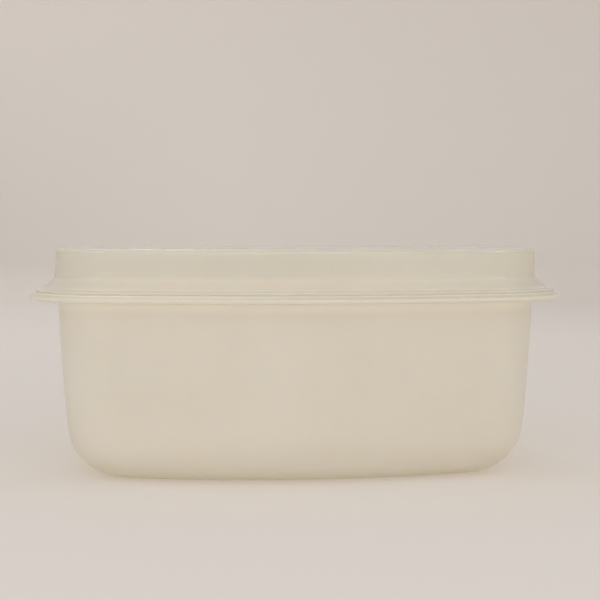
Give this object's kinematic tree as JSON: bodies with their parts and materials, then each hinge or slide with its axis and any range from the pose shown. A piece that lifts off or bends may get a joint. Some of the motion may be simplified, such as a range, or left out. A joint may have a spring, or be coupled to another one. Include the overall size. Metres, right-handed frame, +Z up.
{
  "type": "food storage container",
  "caption": "Rectangular translucent plastic food container with bowed, tapered walls, a rounded base, a sloping two-step rim and a press-on lid with a raised flat top.",
  "frame": {"origin": "centre of the footprint, on the surface that the tub stands on", "axes": "+Z up, +X along the container's length, +Y across its width; both sides and both ends are alike"},
  "size_m": [0.1892, 0.1332, 0.0801],
  "materials": {
    "tub_plastic": "milky translucent natural polypropylene, softly glossy, faintly yellow",
    "lid_plastic": "thin, clearer natural polypropylene, glossy"
  },
  "bodies": {
    "root": {"tub": "tub_plastic", "lid": "lid_plastic"}
  },
  "joints": []
}
